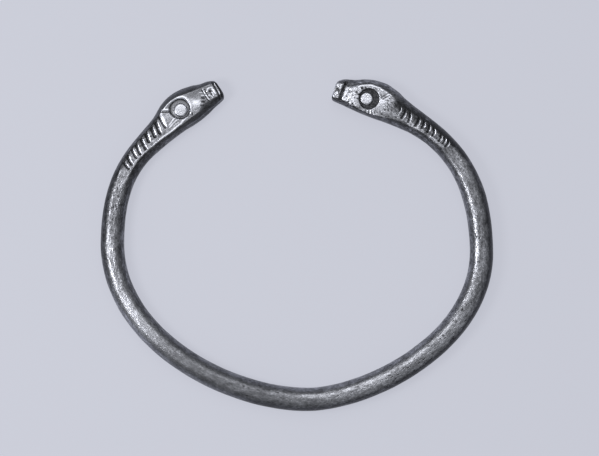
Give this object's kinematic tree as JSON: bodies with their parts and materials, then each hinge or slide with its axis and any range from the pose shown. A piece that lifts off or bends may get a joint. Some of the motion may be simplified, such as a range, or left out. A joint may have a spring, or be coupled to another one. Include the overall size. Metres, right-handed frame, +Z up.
{
  "type": "bracelet",
  "caption": "Open silver bangle: a round bar bent into a hoop, with an animal's head carved at each end, and an open gap between the muzzles.",
  "frame": {"origin": "middle of the bracelet's box, on the surface that it lies on", "axes": "+X across the hoop at its widest, +Y towards the two heads, +Z up out of the hoop's flat side"},
  "size_m": [0.067, 0.0568, 0.004],
  "materials": {
    "silver": "old silver: rubbed grey on top, dark tarnish down the flanks and in the cuts"
  },
  "bodies": {
    "root": {"bracelet": "silver"}
  },
  "joints": []
}
